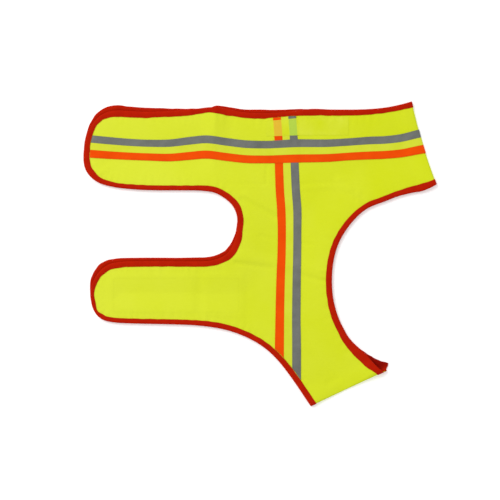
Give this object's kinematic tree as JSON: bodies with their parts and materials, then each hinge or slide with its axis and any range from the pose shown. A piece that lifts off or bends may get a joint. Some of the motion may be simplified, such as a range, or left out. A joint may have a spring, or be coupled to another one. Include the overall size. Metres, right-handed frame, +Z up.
{
  "type": "dog safety vest",
  "caption": "Hi-vis dog vest folded double and laid flat: two bound cloth halves with arms, leg notch and neck curve, crossed by a three-stripe reflective ribbon.",
  "frame": {"origin": "under the middle of the folded vest's box, on the surface that it lies on", "axes": "+X towards the head end, +Y towards the back hem, +Z up from the surface"},
  "size_m": [0.4954, 0.4267, 0.0137],
  "materials": {
    "cloth_yellow": "matt woven polyester",
    "binding_red": "matt woven tape",
    "ribbon_silver": "grey reflective tape",
    "ribbon_yellow": "matt woven ribbon",
    "ribbon_orange": "matt woven ribbon",
    "hook_tape": "hook tape"
  },
  "bodies": {
    "root": {"near_half": "cloth_yellow", "far_half": "cloth_yellow", "cover_strip": "cloth_yellow", "hem_binding_near": "binding_red", "hem_binding_far": "binding_red", "neck_binding_near": "binding_red", "neck_binding_far": "binding_red", "girth_ribbon_silver": "ribbon_silver", "down_ribbon_silver": "ribbon_silver", "girth_ribbon_yellow": "ribbon_yellow", "down_ribbon_yellow": "ribbon_yellow", "girth_ribbon_orange": "ribbon_orange", "down_ribbon_orange": "ribbon_orange", "hook_strip": "hook_tape"}
  },
  "joints": []
}
